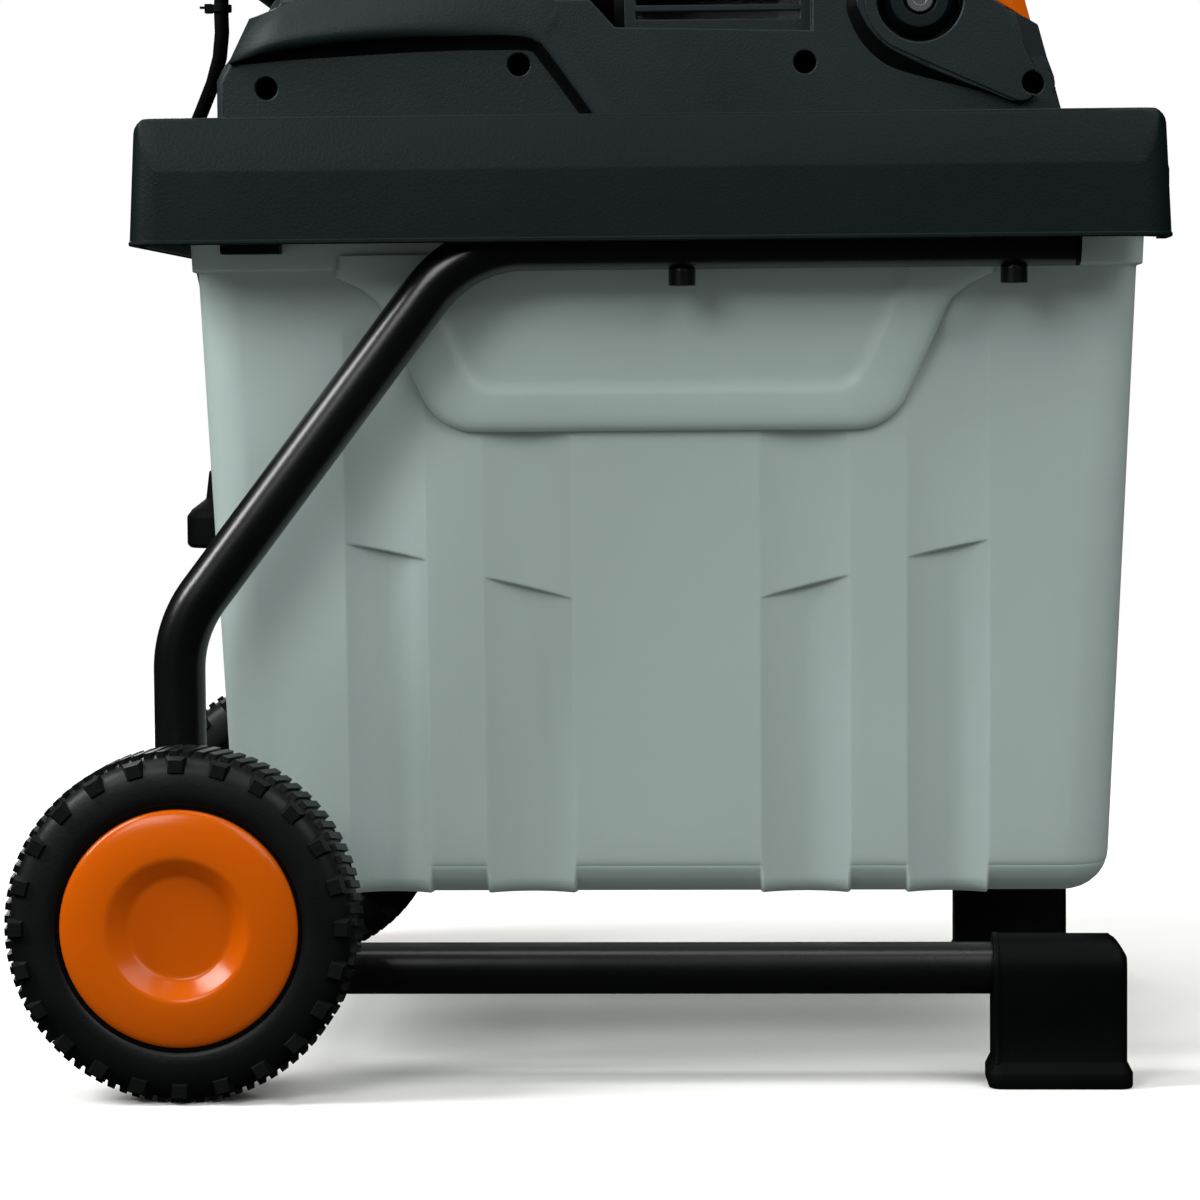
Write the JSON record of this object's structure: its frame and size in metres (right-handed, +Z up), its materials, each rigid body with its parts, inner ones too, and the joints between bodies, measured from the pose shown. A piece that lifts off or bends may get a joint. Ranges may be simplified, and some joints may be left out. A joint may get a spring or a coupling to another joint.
{
  "type": "garden shredder",
  "caption": "Garden shredder: tall hopper over a geared cutting drum, motor hood with switches, pull-out collection box under a tray, wheeled tube frame.",
  "frame": {"origin": "middle of the footprint, on the floor", "axes": "+Z up, +X to the front where the box is pulled out, -Y the side with the adjuster knob"},
  "size_m": [0.555, 0.4882, 0.9007],
  "materials": {
    "frame_paint": "gloss black powder coat",
    "body_plastic": "fine-grained moulded black",
    "black_plastic": "satin black",
    "black_rubber": "matt black",
    "tyre_black": "matt black with moulded lugs",
    "box_plastic": "milky, slightly translucent",
    "orange_plastic": "gloss orange",
    "green_plastic": "gloss green",
    "red_plastic": "gloss red",
    "steel": "zinc-plated",
    "hard_steel": "hardened, machined",
    "cast_metal": "as cast",
    "winding": "varnished copper"
  },
  "bodies": {
    "shredder": {"frame_tube_right": "frame_paint", "frame_tube_left": "frame_paint", "tube_plugs": "black_plastic", "foot_right": "black_plastic", "foot_left": "black_plastic", "foot_pads": "black_rubber", "axle": "steel", "axle_retainers": "steel", "frame_bolts": "frame_paint", "tray": "body_plastic", "rail_right": "body_plastic", "rail_left": "body_plastic", "rail_screws": "steel", "housing_right": "body_plastic", "housing_left": "body_plastic", "housing_screws": "frame_paint", "front_cowl": "orange_plastic", "motor_hood": "body_plastic", "hopper": "body_plastic", "feed_chute": "body_plastic", "control_panel": "black_plastic", "cord_gland": "black_rubber", "mains_cord": "black_rubber", "cord_tie": "black_plastic", "mains_plug": "black_rubber", "cutter_frame": "cast_metal", "gearbox_case": "cast_metal", "gearbox_cover": "cast_metal", "shaft_bearings": "steel", "motor_stator": "winding", "motor_shields": "cast_metal", "run_capacitor": "steel", "safety_switch": "black_plastic"},
    "wheel_right": {"tyre_right": "tyre_black", "wheel_hub_right": "black_plastic", "hub_cap_right": "orange_plastic"},
    "wheel_left": {"tyre_left": "tyre_black", "wheel_hub_left": "black_plastic", "hub_cap_left": "orange_plastic"},
    "box": {"collection_box": "box_plastic"},
    "lock": {"box_lock": "orange_plastic"},
    "start": {"start_button": "green_plastic"},
    "stop": {"stop_button": "red_plastic"},
    "reset": {"reset_button": "black_plastic"},
    "selector": {"direction_selector": "black_plastic"},
    "adjuster": {"adjuster_knob": "black_plastic", "knob_screw": "steel", "adjuster_spindle": "steel"},
    "plate": {"pressure_plate": "cast_metal", "plate_bush": "steel"},
    "drum": {"cutting_drum": "hard_steel", "drum_shaft": "steel", "drum_gear": "steel"},
    "layshaft": {"countershaft": "steel", "countershaft_gear": "steel"},
    "rotor": {"motor_rotor": "hard_steel", "motor_shaft": "steel", "motor_pinion": "steel", "cooling_fan": "black_plastic"}
  },
  "joints": [
    {"name": "wheel_right_spin", "type": "hinge", "parent": "shredder", "child": "wheel_right", "pos_m": [-0.19353, -0.219, 0.084], "axis": [0, 1, 0], "continuous": true},
    {"name": "wheel_left_spin", "type": "hinge", "parent": "shredder", "child": "wheel_left", "pos_m": [-0.19353, 0.219, 0.084], "axis": [0, 1, 0], "continuous": true},
    {"name": "box_slide", "type": "slide", "parent": "shredder", "child": "box", "axis": [1, 0, 0], "range_m": [0, 0.3]},
    {"name": "lock_slide", "type": "slide", "parent": "shredder", "child": "lock", "axis": [0, 0, -1], "range_m": [0, 0.006]},
    {"name": "start_press", "type": "slide", "parent": "shredder", "child": "start", "axis": [0, 0, -1], "range_m": [0, 0.003], "stiffness_N_per_m": 250, "springref_m": -0.003},
    {"name": "stop_press", "type": "slide", "parent": "shredder", "child": "stop", "axis": [0, 0, -1], "range_m": [0, 0.003], "stiffness_N_per_m": 250, "springref_m": -0.003},
    {"name": "reset_press", "type": "slide", "parent": "shredder", "child": "reset", "axis": [0, 0, -1], "range_m": [0, 0.003], "stiffness_N_per_m": 250, "springref_m": -0.003},
    {"name": "selector_turn", "type": "hinge", "parent": "shredder", "child": "selector", "pos_m": [-0.046, -0.024, 0.6407], "axis": [0, 0, 1], "range_deg": [-45, 45]},
    {"name": "adjuster_turn", "type": "hinge", "parent": "shredder", "child": "adjuster", "pos_m": [0.16, -0.149, 0.524], "axis": [0, 1, 0], "range_deg": [0, 720]},
    {"name": "plate_slide", "type": "slide", "parent": "shredder", "child": "plate", "axis": [0, 1, 0], "range_m": [0, 0.003]},
    {"name": "drum_spin", "type": "hinge", "parent": "shredder", "child": "drum", "pos_m": [0.145, 0, 0.524], "axis": [1, 0, 0], "continuous": true},
    {"name": "layshaft_spin", "type": "hinge", "parent": "shredder", "child": "layshaft", "pos_m": [0.05, 0.042, 0.5555], "axis": [1, 0, 0], "continuous": true},
    {"name": "rotor_spin", "type": "hinge", "parent": "shredder", "child": "rotor", "pos_m": [-0.055, 0, 0.556], "axis": [1, 0, 0], "continuous": true}
  ],
  "couplings": [
    {"joint": "adjuster_turn", "follows": "plate_slide", "rad_per_m": 4188.8},
    {"joint": "layshaft_spin", "follows": "drum_spin", "ratio": -6},
    {"joint": "rotor_spin", "follows": "drum_spin", "ratio": 36}
  ]
}
